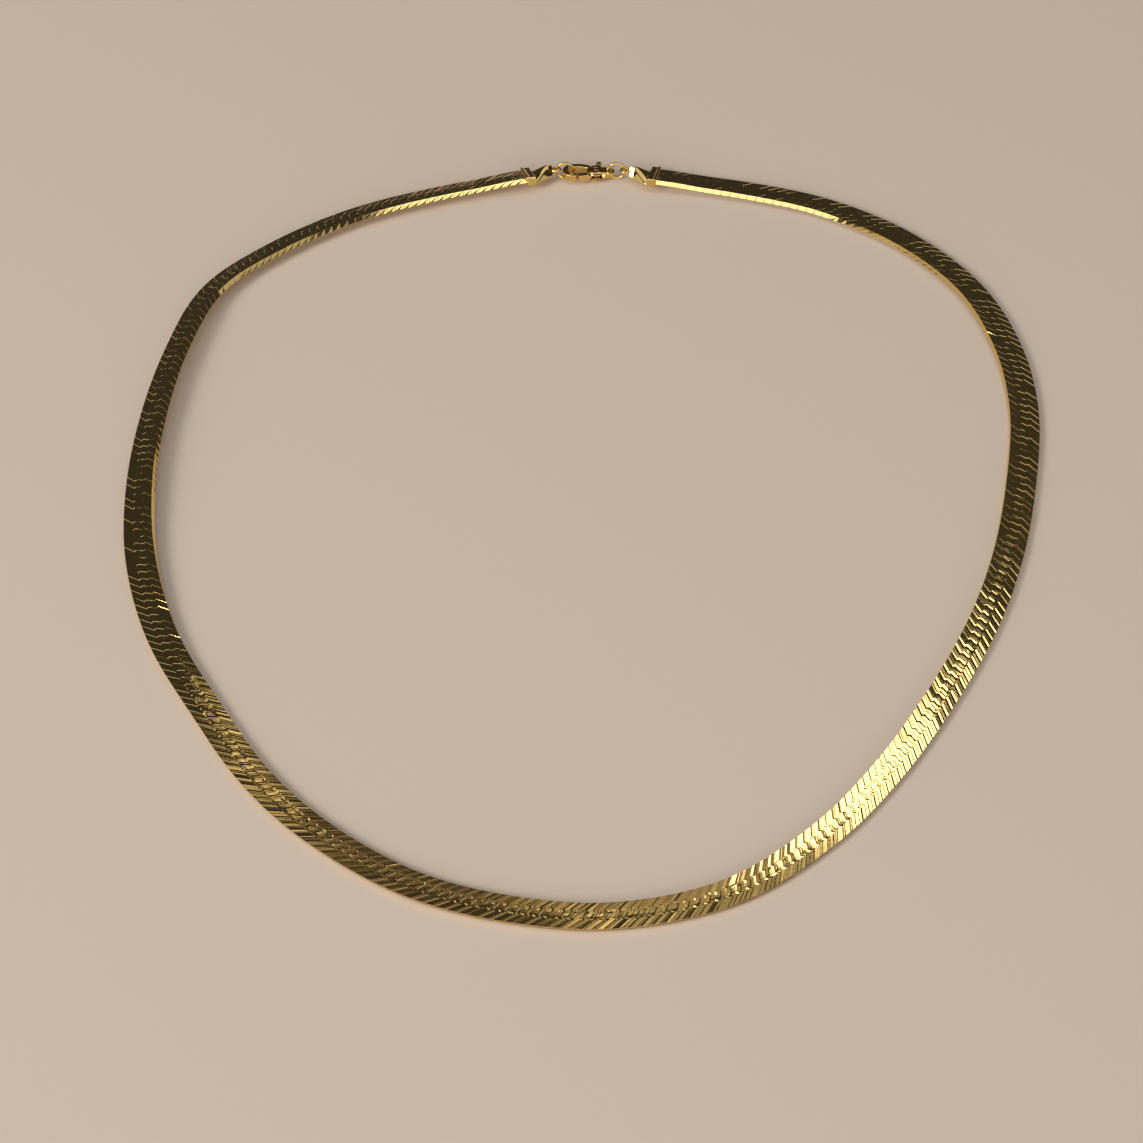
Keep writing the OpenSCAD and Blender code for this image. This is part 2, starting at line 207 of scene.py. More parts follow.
def finish(obj, body, node, material):
    """A finished piece: its material, the body that it rides on and the solid that it stands for."""
    obj.data.materials.clear()
    obj.data.materials.append(material)
    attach(obj, body)
    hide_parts(node)


# Materials

def linear(hex_colour):
    """An sRGB hex colour as linear red, green, blue and alpha."""
    channels = [int(hex_colour[i:i + 2], 16) / 255 for i in (1, 3, 5)]
    return [c / 12.92 if c <= 0.04045 else ((c + 0.055) / 1.055) ** 2.4 for c in channels] + [1]


def node(tree, kind, inputs=(), **settings):
    """Adds a node with its settings and links.

    An input goes by its name or number, and takes a value or another node's output."""
    made = tree.nodes.new(kind)
    for name, value in settings.items():
        if hasattr(made, name):
            setattr(made, name, value)
        else:
            made.inputs[name.replace("_", " ")].default_value = value
    for name, source in inputs:
        if isinstance(source, bpy.types.NodeSocket):
            tree.links.new(source, made.inputs[name])
        else:
            made.inputs[name].default_value = source
    return made


# Numbers of a Mix node's two colour inputs and of its colour output
MIX_A = 6
MIX_B = 7
MIX_OUT = 2


def new_material(name):
    material = bpy.data.materials.new(name)
    material.use_nodes = True
    tree = material.node_tree
    tree.nodes.clear()
    return material, tree


# Sizes in millimetres of the finest relief on a bar: a line along its middle, and a domed nose
BAR_LINE_W = 0.14
BAR_LINE_DEPTH = 0.008
NOSE_R = 0.3
NOSE_H = 0.011
# How much of that relief the bars have, by chance
FAINTEST_BAR = 0.45
STRONGEST_BAR = 1.1
# Real hairline marks are finer than 0.02 mm, and are drawn this wide so that they show
HAIRLINE_W = 0.12
# Painted shade: the darker gold put deep between the links and on the band's outer wall
PAINTED_SHADE_TONE = "#7A5A22"


def bar_relief(tree, run_map):
    """Height in millimetres of the fine relief on the bars, stronger on some of them than on others."""
    split = node(tree, "ShaderNodeSeparateXYZ", [("Vector", run_map)])
    turns = node(tree, "ShaderNodeMath", [(0, split.outputs["X"]), (1, LINK_PITCH)], operation="DIVIDE")
    share = node(tree, "ShaderNodeMath", [(0, turns.outputs[0])], operation="FRACT")
    number = node(tree, "ShaderNodeMath", [(0, turns.outputs[0])], operation="FLOOR")
    chance = node(tree, "ShaderNodeTexWhiteNoise", [("W", number.outputs[0])], noise_dimensions="1D")
    along = node(tree, "ShaderNodeMath", [(0, share.outputs[0]), (1, LINK_PITCH), (2, -LINK_PITCH / 2)],
                 operation="MULTIPLY_ADD")
    across = node(tree, "ShaderNodeMath", [(0, split.outputs["Y"]), (1, BAND_W / 2)],
                  operation="SUBTRACT")
    aside = node(tree, "ShaderNodeMath", [(0, along.outputs[0])], operation="ABSOLUTE")
    line = node(tree, "ShaderNodeMapRange", [("Value", aside.outputs[0])],
                interpolation_type="SMOOTHSTEP",
                From_Min=0, From_Max=BAR_LINE_W / 2, To_Min=-BAR_LINE_DEPTH, To_Max=0)
    # The line is half as deep on the inner half of the band
    strength = node(tree, "ShaderNodeMapRange", [("Value", across.outputs[0])],
                    From_Min=-0.2, From_Max=0.3, To_Min=1, To_Max=0.5)
    shown = node(tree, "ShaderNodeMath", [(0, line.outputs["Result"]), (1, strength.outputs["Result"])],
                 operation="MULTIPLY")
    off_nose = node(tree, "ShaderNodeCombineXYZ", [("X", along.outputs[0]), ("Y", across.outputs[0])])
    distance = node(tree, "ShaderNodeVectorMath", [(0, off_nose.outputs["Vector"])], operation="LENGTH")
    dome = node(tree, "ShaderNodeMapRange", [("Value", distance.outputs["Value"])],
                interpolation_type="SMOOTHSTEP", From_Min=0, From_Max=NOSE_R, To_Min=NOSE_H, To_Max=0)
    both = node(tree, "ShaderNodeMath", [(0, shown.outputs[0]), (1, dome.outputs["Result"])],
                operation="ADD")
    uneven = node(tree, "ShaderNodeMapRange", [("Value", chance.outputs["Value"])],
                  To_Min=FAINTEST_BAR, To_Max=STRONGEST_BAR)
    relief = node(tree, "ShaderNodeMath", [(0, both.outputs[0]), (1, uneven.outputs["Result"])],
                  operation="MULTIPLY")
    return relief.outputs[0]


def polished_gold(name, face, shade, roughness, patch_mm, unevenness, scratch_um, mapped):
    """14 carat gold, rolled or cast and then buffed: a clear mirror with hairline marks from wear.

    The eye sees warm reflections that break up from place to place, because the buffed faces are
    never quite flat. Those patches are patch_mm wide and unevenness times that high, and the
    hairlines are scratch_um deep. Where mapped, painted shade, a darker gold, is put in the band's
    grooves and on its outer wall."""
    material, tree = new_material(name)
    where = node(tree, "ShaderNodeTexCoord")
    if mapped:
        # The band's own map is in millimetres along and across the chain, with its bars square across,
        # and both patterns are drawn out along the bars
        place = where.outputs["UV"]
        per_mm = 1
        drawn_out = (1, 0.45, 1)
        stretch = (1, 0.12, 1)
    else:
        place = where.outputs["Object"]
        per_mm = 1 / MM
        drawn_out = (1, 1, 1)
        stretch = (0.3, 1, 1)
    longer = node(tree, "ShaderNodeMapping", [("Vector", place)], Scale=drawn_out)
    patches = node(tree, "ShaderNodeTexNoise", [("Vector", longer.outputs["Vector"])],
                   Scale=per_mm / patch_mm, Detail=2, Roughness=0.5)
    turned = node(tree, "ShaderNodeMapping", [("Vector", place)], Scale=stretch)
    hairlines = node(tree, "ShaderNodeTexNoise", [("Vector", turned.outputs["Vector"])],
                     Scale=per_mm / HAIRLINE_W, Detail=3, Roughness=0.6)
    tone = node(tree, "ShaderNodeMix",
                [("Factor", patches.outputs["Fac"]), (MIX_A, linear(face)), (MIX_B, linear(shade))],
                data_type="RGBA")
    if mapped:
        # Painted shade: a darker gold mixed in on the band's grooves and outer wall, by a share kept on its
        # points
        painted_shade = node(tree, "ShaderNodeAttribute", attribute_name="painted_shade")
        tone = node(tree, "ShaderNodeMix",
                    [("Factor", painted_shade.outputs["Fac"]), (MIX_A, tone.outputs[MIX_OUT]),
                     (MIX_B, linear(PAINTED_SHADE_TONE))], data_type="RGBA")
    gloss = node(tree, "ShaderNodeMapRange", [("Value", hairlines.outputs["Fac"])],
                 To_Min=roughness * 0.7, To_Max=roughness * 1.4)
    uneven = node(tree, "ShaderNodeBump", [("Height", patches.outputs["Fac"])],
                  Strength=1, Distance=unevenness * MM * patch_mm)
    marked = node(tree, "ShaderNodeBump",
                  [("Height", hairlines.outputs["Fac"]), ("Normal", uneven.outputs["Normal"])],
                  Strength=1, Distance=scratch_um * 1e-6)
    if mapped:
        marked = node(tree, "ShaderNodeBump",
                      [("Height", bar_relief(tree, place)), ("Normal", marked.outputs["Normal"])],
                      Strength=1, Distance=MM)
    shader = node(tree, "ShaderNodeBsdfPrincipled",
                  [("Base Color", tone.outputs[MIX_OUT]), ("Roughness", gloss.outputs["Result"]),
                   ("Normal", marked.outputs["Normal"])], Metallic=1)
    node(tree, "ShaderNodeOutputMaterial", [("Surface", shader.outputs["BSDF"])])
    return material


def painted_board(name, paint):
    """Matt emulsion on board: even and pale, with no gloss."""
    material, tree = new_material(name)
    shader = node(tree, "ShaderNodeBsdfPrincipled", Roughness=0.9)
    shader.inputs["Base Color"].default_value = linear(paint)
    shader.inputs["Specular IOR Level"].default_value = 0.2
    node(tree, "ShaderNodeOutputMaterial", [("Surface", shader.outputs["BSDF"])])
    return material


chain_gold = polished_gold("rolled_chain_gold", "#F2D894", "#E2BF74", roughness=0.07, patch_mm=0.6,
                           unevenness=0.02, scratch_um=0.6, mapped=True)
cast_gold = polished_gold("cast_finding_gold", "#F3D88E", "#E2BF74", roughness=0.06, patch_mm=0.9,
                          unevenness=0.01, scratch_um=1, mapped=False)
pin_gold = polished_gold("drawn_pin_gold", "#E9C678", "#CFA255", roughness=0.15, patch_mm=0.6,
                         unevenness=0.01, scratch_um=1, mapped=False)


# The woven band

def line_shift(across):
    """How far a bar is shifted along the run at a place across it: slanted, back, and slanted again."""
    d = across - BAND_W / 2
    beyond = abs(d) - MIDDLE_W / 2
    level = (-MIDDLE_W / 2 + math.hypot(MIDDLE_W / 2, CORNER_SOFTNESS)) / 2
    outer = (beyond + math.hypot(beyond, CORNER_SOFTNESS)) / 2 - level
    inner = abs(d) - outer
    return math.copysign(outer * math.tan(BAR_ANGLE) - inner * math.tan(NOSE_ANGLE), d)


# Stations along a link: share of its pitch, then as shares of GROOVE and NOTCH how far its face drops
# and how far its ends draw in
STATIONS = [(0, 1, 1), (0.06, 0, 0.4), (0.94, 0, 0.4), (1, 1, 1)]
# How deep a groove is on the inner half, as a share of the outer half's
FINER = 0.5
GROOVE = 0.026
NOTCH = 0.05
UNDER_GROOVE = 0.06
# How far the band's face draws in from its inner edge, and its underside from its outer edge
INNER_SLANT = 0.2
OUTER_UNDERCUT = 0.33
UNDER_ROUND = 0.12
NOSE_RISE = 0.002
CROWN = 0.02
# Half the nose's width, and the places across the middle where a link is cut, as shares of MIDDLE_W
NOSE_HALF = 0.2
MIDDLE_CUTS = (-0.75, -0.5, -NOSE_HALF, NOSE_HALF, 0.5, 0.75)
# Points lower than this are on the underside
UNDERSIDE = 0.04
# How unevenly the bars settle: the spread of their slopes along and across the band, and how much
# shallower or deeper a groove is, as a share of its depth
ROLL_SPREAD = 0.005
LEAN_SPREAD = 0.004
SHALLOWER = -0.6
DEEPER = 0.7
# How much painted shade, the darker gold, the outer wall and the grooves take
WALL_PAINTED_SHADE = 0.7
GROOVE_PAINTED_SHADE = 0.25


def bevel_long_edges(link, test, offset):
    """Rolls round the long edges whose ends pass the test."""
    pick(link, lambda a, b: abs(a.x - b.x) > LINK_PITCH / 2 and test(a), "EDGE")
    bpy.ops.mesh.bevel(offset=offset, segments=2, affect="EDGES")
    done()


def straight_link():
    """One flat bar of the weave, laid square, with slanted ends and its underside rolled round."""
    bpy.ops.object.select_all(action="DESELECT")
    bpy.ops.mesh.primitive_cube_add(size=1, location=(LINK_PITCH / 2, BAND_W / 2, BAND_T / 2))
    link = bpy.context.object
    link.name = "woven_band"
    link.scale = (LINK_PITCH, BAND_W, BAND_T)
    bpy.ops.object.transform_apply(location=True, rotation=False, scale=True)
    move(link, lambda p: p.z > BAND_T - 0.01 and p.y > BAND_W / 2, (0, -INNER_SLANT, 0))
    move(link, lambda p: p.z < 0.01 and p.y < BAND_W / 2, (0, OUTER_UNDERCUT, 0))
    bevel_long_edges(link, lambda p: p.z < 0.01, UNDER_ROUND)
    # Open at both ends, where the next link joins it
    pick(link, lambda normal, centre: abs(normal.x) > 0.9, "FACE")
    bpy.ops.mesh.delete(type="FACE")
    done()
    for share in MIDDLE_CUTS:
        cut(link, (0, BAND_W / 2 + share * MIDDLE_W, 0), (0, 1, 0))
    # The underside only shows its grooves, so it has one ridge between them
    for share, _, _ in STATIONS[1:-1]:
        cut(link, (share * LINK_PITCH, 0, 0), (1, 0, 0), lambda p: p.z > UNDER_ROUND * 0.8)
    cut(link, (0.5 * LINK_PITCH, 0, 0), (1, 0, 0), lambda p: p.z < UNDER_ROUND * 1.2)
    return link


def in_nose(across):
    return abs(across - BAND_W / 2) < (NOSE_HALF + 0.01) * MIDDLE_W


def on_face(p):
    return p.z > BAND_T * 0.65


def on_inner_half(p):
    return p.y > BAND_W / 2 + 0.4 * MIDDLE_W


def move_station(link, share, test, by):
    """Moves the points that lie at one share of a link's pitch and pass the test."""
    move(link, lambda p: abs(p.x - share * LINK_PITCH) < NEAR and test(p), by)


def shape_link(link):
    """Grooves between the bars, notched edges, a raised nose in the middle, and the slant."""
    for share, drop, draw in STATIONS:
        move_station(link, share, lambda p: on_face(p) and not on_inner_half(p), (0, 0, -drop * GROOVE))
        move_station(link, share, lambda p: on_face(p) and on_inner_half(p), (0, 0, -drop * GROOVE * FINER))
        move_station(link, share, lambda p: p.z < UNDERSIDE, (0, 0, drop * UNDER_GROOVE))
        move_station(link, share, lambda p: p.y < OUTER_UNDERCUT, (0, draw * NOTCH, 0))
        move_station(link, share, lambda p: p.y > BAND_W - 1.1 * INNER_SLANT, (0, -draw * NOTCH, 0))
    for share, _, _ in STATIONS[1:-1]:
        move_station(link, share, lambda p: p.z > BAND_T / 2 and in_nose(p.y), (0, 0, NOSE_RISE * share))
        # The grooves are narrower on the inner half too
        narrower = -FINER * share if share < 0.5 else FINER * (1 - share)
        move_station(link, share, lambda p: on_face(p) and on_inner_half(p), (narrower * LINK_PITCH, 0, 0))
    for row in sorted({round(v.co.y, 3) for v in link.data.vertices}):
        shift = line_shift(row)
        if shift:
            move(link, lambda p: abs(p.y - row) < 2e-3, (shift, 0, 0))


def run_points():
    """The chain's run through its chosen points, as a smooth curve: x, y and lean in degrees."""
    path = np.array([LEFT_END] + ROUTE + [RIGHT_END], float)
    first = np.linalg.norm(path[1, :2] - path[0, :2])
    last = np.linalg.norm(path[-1, :2] - path[-2, :2])
    speed = np.empty_like(path)
    speed[1:-1] = (path[2:] - path[:-2]) / 2
    speed[0] = (-first * math.cos(LEFT_TURN), -first * math.sin(LEFT_TURN), 0)
    speed[-1] = (-last * math.cos(RIGHT_TURN), last * math.sin(RIGHT_TURN), 0)
    points = []
    for i in range(len(path) - 1):
        for k in np.arange(RUN_STEPS) / RUN_STEPS:
            points.append(
                (2 * k ** 3 - 3 * k ** 2 + 1) * path[i] + (k ** 3 - 2 * k ** 2 + k) * speed[i]
                + (3 * k ** 2 - 2 * k ** 3) * path[i + 1] + (k ** 3 - k ** 2) * speed[i + 1]
            )
    points.append(path[-1])
    return np.array(points)


def ease(k):
    k = min(1, max(0, k))
    return k * k * (3 - 2 * k)


def run_curve():
    """A curve along the middle of the band's underside, tilted as the band leans."""
    points = run_points()
    steps = np.linalg.norm(np.diff(points[:, :2], axis=0), axis=1)
    along = np.concatenate([[0], np.cumsum(steps)])
    total = along[-1]
    data = bpy.data.curves.new("run", "CURVE")
    data.dimensions = "3D"
    data.twist_mode = "Z_UP"
    spline = data.splines.new("POLY")
    spline.points.add(len(points) - 1)
    ahead = np.gradient(points[:, :2], along, axis=0)
    for i, (x, y, degrees) in enumerate(points):
        lean = math.radians(max(0, degrees))
        held = LEFT_HELD if along[i] < total / 2 else RIGHT_HELD
        free = ease((min(along[i], total - along[i]) - STRAIGHT_LEN) / CLIMB_LEN)
        inward = Vector((-ahead[i][1], ahead[i][0])).normalized()
        offset = BAND_W / 2 * (math.cos(lean) - 1)
        height = BAND_W / 2 * math.sin(lean) + held * (1 - free)
        to_x = x + inward.x * offset - MIDDLE[0]
        to_y = y + inward.y * offset - MIDDLE[1]
        spline.points[i].co = (to_x, to_y, height, 1)
        spline.points[i].tilt = lean
    curve = bpy.data.objects.new("run", data)
    bpy.context.scene.collection.objects.link(curve)
    return curve, total


def settle_links(band):
    """Each bar's two halves sit a little unevenly, and the band is a touch crowned.

    Also keeps the map along and across the band, and how much painted shade, a darker gold, each point
    takes."""
    mesh = band.data
    count = len(mesh.vertices)
    co = np.empty(count * 3)
    mesh.vertices.foreach_get("co", co)
    co = co.reshape(-1, 3)
    shift = np.array([line_shift(y) for y in co[:, 1]])
    place = (co[:, 0] - shift) / LINK_PITCH
    link = np.floor(place + 1e-3).astype(int)
    share = place - link
    low = link.min()
    numbers = range(link.max() - low + 1)
    rolls = [[dice.gauss(0, ROLL_SPREAD) for _ in range(2)] for _ in numbers]
    leans = [[dice.gauss(0, LEAN_SPREAD) for _ in range(2)] for _ in numbers]
    side = (co[:, 1] > BAND_W / 2).astype(int)
    middle = in_nose(co[:, 1])
    groove = np.minimum(share, 1 - share) < 0.02
    roll = np.where(middle, np.array(rolls)[link - low].mean(1), np.array(rolls)[link - low, side])
    lean = np.array(leans)[link - low, side]
    depths = [[dice.uniform(SHALLOWER, DEEPER) * GROOVE for _ in range(2)] for _ in numbers]
    depth = np.array(depths)[link - low, side]
    from_middle = co[:, 1] - BAND_W / 2
    lift = np.where(groove, -depth, roll * (share - 0.5) * LINK_PITCH + lean * np.abs(from_middle))
    crown = -CROWN * np.abs(from_middle) / (BAND_W / 2)
    upper = co[:, 2] > BAND_T * 0.4
    co[:, 2] += np.where(upper, lift + crown, 0)
    mesh.vertices.foreach_set("co", co.ravel())
    # Painted shade: the outer wall and the grooves keep a share of a darker gold colour
    painted_shade = mesh.attributes.new("painted_shade", "FLOAT", "POINT")
    outer_side = (co[:, 1] < OUTER_UNDERCUT + UNDER_ROUND) & (co[:, 2] < BAND_T * 0.6)
    tone = np.where(outer_side, WALL_PAINTED_SHADE, np.where(groove, GROOVE_PAINTED_SHADE, 0))
    painted_shade.data.foreach_set("value", tone.astype(np.float32))
    corners = np.empty(len(mesh.loops), int)
    mesh.loops.foreach_get("vertex_index", corners)
    flat = mesh.uv_layers.new(name="run_map")
    squared = np.stack([place * LINK_PITCH, co[:, 1]], axis=1)
    flat.data.foreach_set("uv", squared[corners].ravel())
    mesh.update()


def woven_band():
    curve, total = run_curve()
    count = round(total / LINK_PITCH)
    spare = 2
    link = straight_link()
    shape_link(link)
    modify(link, "ARRAY", count=count + 2 * spare, use_relative_offset=False, use_constant_offset=True,
           constant_offset_displace=(LINK_PITCH, 0, 0), use_merge_vertices=True, merge_threshold=1e-3)
    band = link
    move(band, lambda p: True, (-spare * LINK_PITCH, 0, 0))
    settle_links(band)
    # The chain is sawn off square at both ends, inside its caps
    cut(band, (0, 0, 0), (-1, 0, 0), clear_outer=True, use_fill=True)
    cut(band, (count * LINK_PITCH, 0, 0), (1, 0, 0), clear_outer=True, use_fill=True)
    length = sum((Vector(a.co[:3]) - Vector(b.co[:3])).length
                 for a, b in zip(curve.data.splines[0].points[1:], curve.data.splines[0].points))
    move(band, lambda p: True, (0, -BAND_W / 2, 0))
    only(band)
    band.scale = (length / (count * LINK_PITCH), 1, 1)
    bpy.ops.object.transform_apply(location=False, rotation=False, scale=True)
    modify(band, "CURVE", object=curve, deform_axis="POS_X")
    bpy.data.objects.remove(curve)
    to_metres(band)
    finish(band, "chain", "herringbone_band", chain_gold)


woven_band()


# The cast and soldered findings

def soften(piece, grain, passes, keep):
    """The soft edges that casting and buffing leave on metal.

    The piece is cut into grains of one size, smoothed in passes, and a share of its faces is kept."""
    modify(piece, "REMESH", mode="VOXEL", voxel_size=grain)
    modify(piece, "SMOOTH", factor=0.5, iterations=passes)
    modify(piece, "DECIMATE", ratio=keep)
    to_metres(piece)
    smooth(piece, 60)


def cast_copy(solid, name):
    """A copy of a solid's mesh in millimetres, with its corners merged."""
    copy = bpy.data.objects.new(name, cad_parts[solid].data.copy())
    bpy.context.scene.collection.objects.link(copy)
    copy.data.transform(Matrix.Scale(1 / MM, 4))
    pick_all(copy)
    bpy.ops.mesh.remove_doubles(threshold=1e-3)
    done()
    return copy


# A cap's sizes, measured from its loop's middle and from its sole
CAP_TIP = 0.6
CAP_POCKET = 4.26
CAP_END = 5.4
TIP_HALF = 0.85
CAP_HALF = 2.49
TIP_TOP = 2.1
CAP_TOP = 1.32
SWELL = 0.2
SOLE_RISE = 0.3
COLLAR_LEN = 0.45
COLLAR_HALF = 2.59
COLLAR_TOP = 1.42
LOOP_H = 1.1
LOOP_R = 0.725
LOOP_WIRE = 0.45
LOOP_X = {"left": -4.894, "right": 6.217}
LOOP_Y = 76.9305
# How far the box round the band reaches into the leaf
BOX_OVERLAP = 0.3
# The pocket that the band's end lies in
POCKET_FLOOR = 0.2
POCKET_ROOM = 0.08
POCKET_WALL = 0.16
# A leaf's crease: share of the way from the tip to the pocket, and the crease's height there
CREASE = [(0, 1.75), (0.12, 1.76), (0.3, 1.6), (0.5, 1.24), (0.7, 0.86), (0.85, 0.62), (0.96, 0.5)]
CREASE_ROUND = 0.16
# The side below the crease slants in by this much for each millimetre of height
SIDE_SLANT = 0.55
SIDE_FOOT = 0.26
# Height of the leaf halfway across, as a share of the way up from its crease to its roof
SHOULDER = 0.72


def block(name, low, high):
    """A box between two corners."""
    low, high = Vector(low), Vector(high)
    bpy.ops.object.select_all(action="DESELECT")
    bpy.ops.mesh.primitive_cube_add(size=1, location=(low + high) / 2)
    made = bpy.context.object
    made.name = name
    made.scale = high - low
    bpy.ops.object.transform_apply(location=True, rotation=False, scale=True)
    return made


def combine(piece, other, operation):
    modify(piece, "BOOLEAN", operation=operation, object=other)
    bpy.data.objects.remove(other)


def leaf_section(share, crease_h):
    """Half a cross-section of the leaf: where each of its nine points goes, across and up."""
    spread = (1 - math.cos(math.pi * share)) / 2
    half = TIP_HALF + (CAP_HALF - TIP_HALF) * spread
    roof = TIP_TOP * (1 - spread) + CAP_TOP * spread + SWELL * math.sin(math.pi * share)
    sole = SOLE_RISE * (1 - ease(2 * share))
    foot = sole + SIDE_FOOT
    crease = half - SIDE_SLANT * (crease_h - foot)
    shoulder = crease_h + SHOULDER * (roof - crease_h)
    return {(1, 0): (half, sole), (0.5, 0): (half / 2, sole), (0, 0): (0, sole),
            (1, 0.3): (half, foot), (0.5, 0.3): (crease / 2, foot), (0, 0.3): (0, foot),
            (1, 1): (crease, crease_h), (0.5, 1): (crease / 2, shoulder), (0, 1): (0, roof)}


def box_section():
    """The same nine points on the plain box round the band."""
    rows = ((0, 0), (0.3, SIDE_FOOT), (1, CAP_TOP))
    return {(across, height): (across * CAP_HALF, up) for height, up in rows for across in (1, 0.5, 0)}


def shape_section(leaf, x, section):
    """Moves each point of one plain cross-section to its place."""
    for (across, height), (to_y, to_z) in section.items():
        for sign in ((-1, 1) if across else (1,)):
            move(leaf, lambda p: (Vector((x, sign * across, height)) - p).length < NEAR,
                 (0, sign * (to_y - across), to_z - height))


def folded_cap(name):
    """An end cap folded from sheet: a box round the band, and a creased leaf that rises to its tip."""
    leaf = block(name, (-CAP_POCKET, -1, 0), (-CAP_TIP, 1, 1))
    leaf_len = CAP_POCKET - CAP_TIP
    places = [(-CAP_TIP - share * leaf_len, leaf_section(share, height)) for share, height in CREASE]
    places.append((-CAP_POCKET, box_section()))
    for x, _ in places[1:-1]:
        cut(leaf, (x, 0, 0), (1, 0, 0))
    for y in (-0.5, 0, 0.5):
        cut(leaf, (0, y, 0), (0, 1, 0))
    cut(leaf, (0, 0, 0.3), (0, 0, 1))
    for x, section in places:
        shape_section(leaf, x, section)
    creases = [Vector((x, *section[(1, 1)])) for x, section in places[:len(CREASE)]]

    def on_crease(p):
        return min((Vector((p.x, abs(p.y), p.z)) - c).length for c in creases) < NEAR

    pick(leaf, lambda a, b: on_crease(a) and on_crease(b) and abs(a.x - b.x) > NEAR, "EDGE")
    bpy.ops.mesh.bevel(offset=CREASE_ROUND, segments=2, affect="EDGES")
    done()
    modify(leaf, "SUBSURF", levels=2)
    box = block("box", (-CAP_END, -CAP_HALF, 0), (BOX_OVERLAP - CAP_POCKET, CAP_HALF, CAP_TOP))
    combine(leaf, box, "UNION")
    collar = block("collar", (-CAP_END, -COLLAR_HALF, 0), (COLLAR_LEN - CAP_END, COLLAR_HALF, COLLAR_TOP))
    combine(leaf, collar, "UNION")
    bpy.ops.object.select_all(action="DESELECT")
    bpy.ops.mesh.primitive_torus_add(major_radius=LOOP_R, minor_radius=LOOP_WIRE / 2, major_segments=40,
                                     minor_segments=16, location=(0, 0, LOOP_H))
    combine(leaf, bpy.context.object, "UNION")
    half = BAND_W / 2 + POCKET_ROOM
    pocket = block("pocket", (-CAP_END - 1, -half, POCKET_FLOOR),
                   (-CAP_POCKET - POCKET_WALL, half, POCKET_FLOOR + BAND_T + 2 * POCKET_ROOM))
    combine(leaf, pocket, "DIFFERENCE")
    return leaf


def end_cap(side, turn, lean, solid):
    """A cap turned and leant as its end of the band is, with its outer foot on the board."""
    cap = folded_cap(side + "_end_cap")
    lean = math.radians(lean)
    edge = COLLAR_HALF * math.cos(lean) - LOOP_H * math.sin(lean)
    lay = (Matrix.Translation((0, edge, 0)) @ Matrix.Rotation(-lean, 4, "X")
           @ Matrix.Translation((0, -COLLAR_HALF, 0)))
    if side == "right":
        lay = Matrix.Scale(-1, 4, (1, 0, 0)) @ lay
        turn = -turn
    place = Matrix.Translation((LOOP_X[side], LOOP_Y, 0))
    cap.data.transform(place @ Matrix.Rotation(turn, 4, "Z") @ lay)
    pick_all(cap)
    bpy.ops.mesh.normals_make_consistent(inside=False)
    done()
    soften(cap, grain=0.035, passes=30, keep=0.4)
    finish(cap, "chain", solid, cast_gold)


def findings():
    end_cap("left", LEFT_TURN, LEFT_END[2], "end_cap_left")
    end_cap("right", RIGHT_TURN, RIGHT_END[2], "end_cap_right")
    claw = cast_copy("clasp_body", "clasp_claw")
    soften(claw, grain=0.035, passes=40, keep=0.5)
    finish(claw, "chain", "clasp_body", cast_gold)
    gate = cast_copy("clasp_lever", "clasp_gate")
    soften(gate, grain=0.03, passes=24, keep=0.5)
    finish(gate, "lever", "clasp_lever", cast_gold)


findings()


# The rings and the pin

# The slit where a ring's two ends meet, and how far round the ring it lies
JOINT_W = 0.05
JOINT_TURN = math.radians(200)


def wire_ring(solid, name):
    """A round of drawn wire, spun about its own axis and closed with a hairline butt joint."""
    low, high = (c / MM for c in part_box(solid))
    middle = (low + high) / 2
    wire = high.y - low.y
    radius = (high.x - low.x - wire) / 2
    bpy.ops.object.select_all(action="DESELECT")
    bpy.ops.mesh.primitive_circle_add(vertices=16, radius=wire / 2, fill_type="NGON",
                                      location=(radius, 0, 0))
    ring = bpy.context.object
    ring.name = name
    bpy.ops.object.transform_apply(location=True)
    turn = 2 * math.pi - JOINT_W / radius
    pick_all(ring)
    bpy.ops.mesh.spin(steps=60, angle=turn, center=(0, 0, 0), axis=(0, 1, 0), dupli=False)
    bpy.ops.mesh.select_all(action="SELECT")
    bpy.ops.mesh.remove_doubles(threshold=1e-4)
    bpy.ops.mesh.normals_make_consistent(inside=False)
    done()
    ring.data.transform(Matrix.Translation(middle) @ Matrix.Rotation(JOINT_TURN, 4, "Y"))
    to_metres(ring)
    smooth(ring, 50)
    finish(ring, "chain", solid, cast_gold)


PIN_ROUND = 0.08


def rivet_pin():
    """A turned pin with softly domed ends."""
    low, high = (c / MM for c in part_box("lever_pin"))
    middle = (low + high) / 2
    bpy.ops.object.select_all(action="DESELECT")
    bpy.ops.mesh.primitive_cylinder_add(vertices=40, radius=(high.x - low.x) / 2, depth=high.z - low.z,
                                        location=middle)
    pin = bpy.context.object
    pin.name = "gate_pin"
    bpy.ops.object.transform_apply(location=True)
    pick(pin, lambda normal, centre: abs(normal.z) > 0.9, "FACE")
    bpy.ops.mesh.bevel(offset=PIN_ROUND, segments=3, affect="EDGES")
    done()
    to_metres(pin)
    smooth(pin, 40)
    finish(pin, "chain", "lever_pin", pin_gold)


wire_ring("jump_ring", "jump_ring_wire")
wire_ring("clasp_ring", "clasp_ring_wire")
rivet_pin()


# The board, the lights and the air around them

def board():
    bpy.ops.object.select_all(action="DESELECT")
    bpy.ops.mesh.primitive_plane_add(size=6, location=(0, 0, 0))
    sheet = bpy.context.object
    sheet.name = "board"
    sheet.data.materials.append(painted_board("matt_board_paint", "#EBDFD3"))


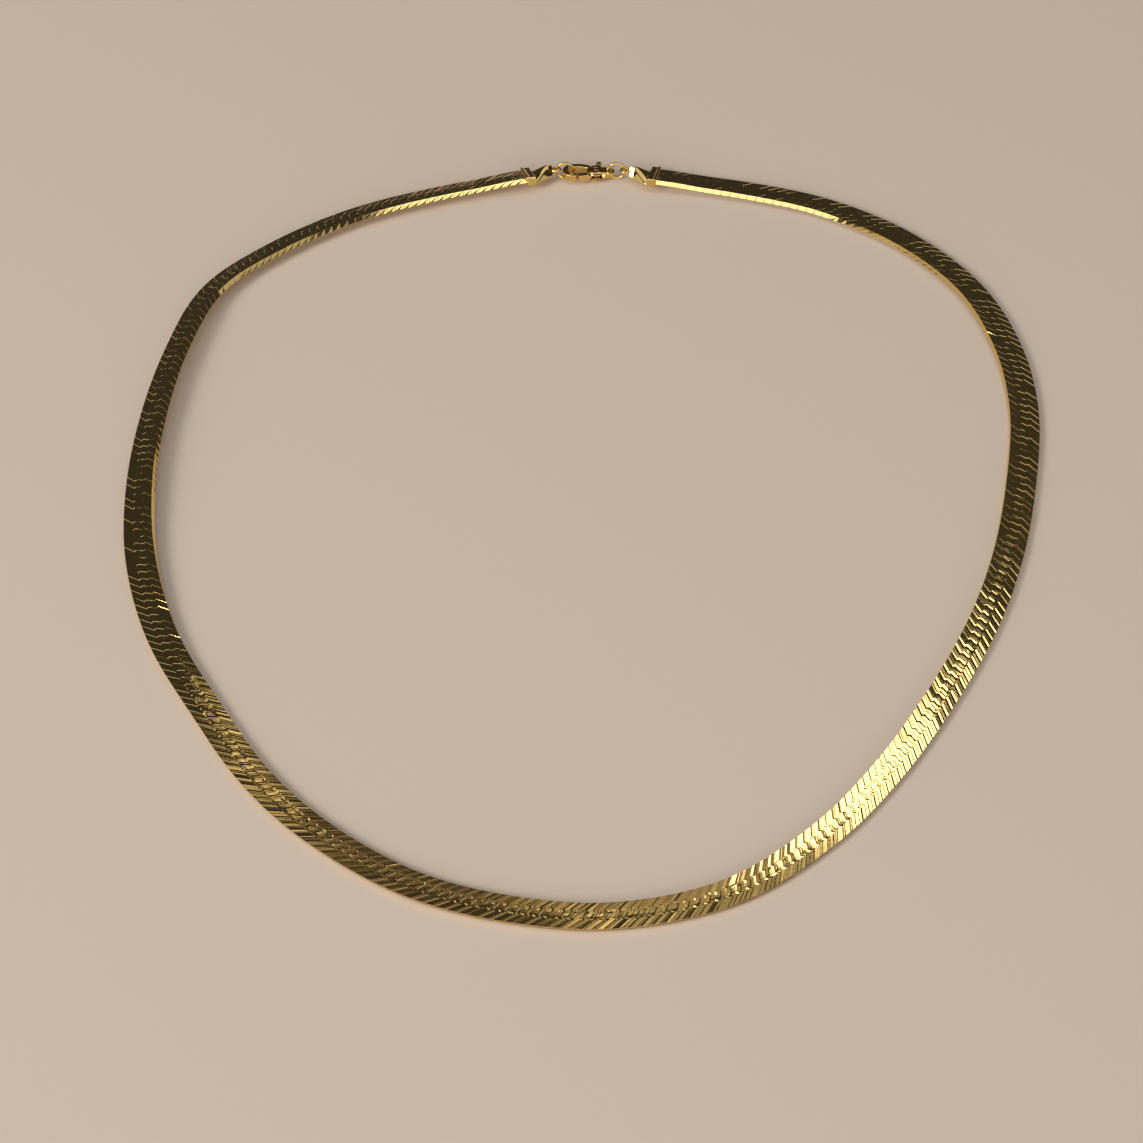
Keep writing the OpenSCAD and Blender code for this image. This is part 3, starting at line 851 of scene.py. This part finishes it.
def softbox(name, place, aim, size, brightness, colour):
    """A rectangular light in metres, as bright all over its face as asked."""
    data = bpy.data.lights.new(name, "AREA")
    data.shape = "RECTANGLE"
    data.size, data.size_y = size
    data.energy = brightness * math.pi * size[0] * size[1]
    data.color = linear(colour)[:3]
    light = bpy.data.objects.new(name, data)
    light.location = place
    light.rotation_euler = (Vector(aim) - Vector(place)).to_track_quat("-Z", "Y").to_euler()
    light.visible_camera = False
    bpy.context.scene.collection.objects.link(light)


def surroundings():
    world = bpy.data.worlds.new("air")
    world.use_nodes = True
    background = world.node_tree.nodes["Background"]
    background.inputs["Color"].default_value = linear("#FFFAF8")
    background.inputs["Strength"].default_value = 0.04
    bpy.context.scene.world = world
    bpy.context.scene.view_settings.view_transform = "Standard"
    # The panels give the long soft lines on walls and rims
    softbox("overhead", (0, 0.125, 1.3), (0, 0.125, 0), (3.0, 0.95), 0.75, "#FFF8F0")
    softbox("front_panel", (0, -1.7, 0.55), (0, 0, 0.55), (4.2, 1.1), 1.9, "#FFF8F0")
    softbox("left_key", (-1.0, -0.7, 0.75), (0, 0, 0), (0.5, 0.5), 12, "#FFF4E4")
    softbox("left_panel", (-1.6, -0.2, 0.35), (0, -0.2, 0), (1.6, 0.7), 0.6, "#FFF6EC")
    softbox("right_panel", (1.6, -0.2, 0.35), (0, -0.2, 0), (1.6, 0.7), 0.5, "#FFF6EC")
    # Each card stands where one stretch of the flat band mirrors it to the camera
    softbox("right_card", (0.166, 0.853, 1.0), (0.0385, -0.05, 0), (0.115, 0.1), 3.8, "#FFFBF0")
    softbox("middle_card", (0.06, 0.775, 1.0), (0.02, -0.07, 0), (0.15, 0.09), 0.34, "#FFF0DC")
    softbox("left_card", (-0.09, 0.8, 1.0), (-0.02, -0.06, 0), (0.16, 0.07), 0.16, "#FFE0D0")
    softbox("left_glint", (-0.187, 0.868, 1.0), (-0.045, -0.05, 0), (0.05, 0.04), 1.4, "#FFF4DC")
    softbox("front_glint", (0.003, 0.752, 1.0), (-0.001, -0.077, 0), (0.03, 0.025), 1.4, "#FFF4DC")


board()
surroundings()
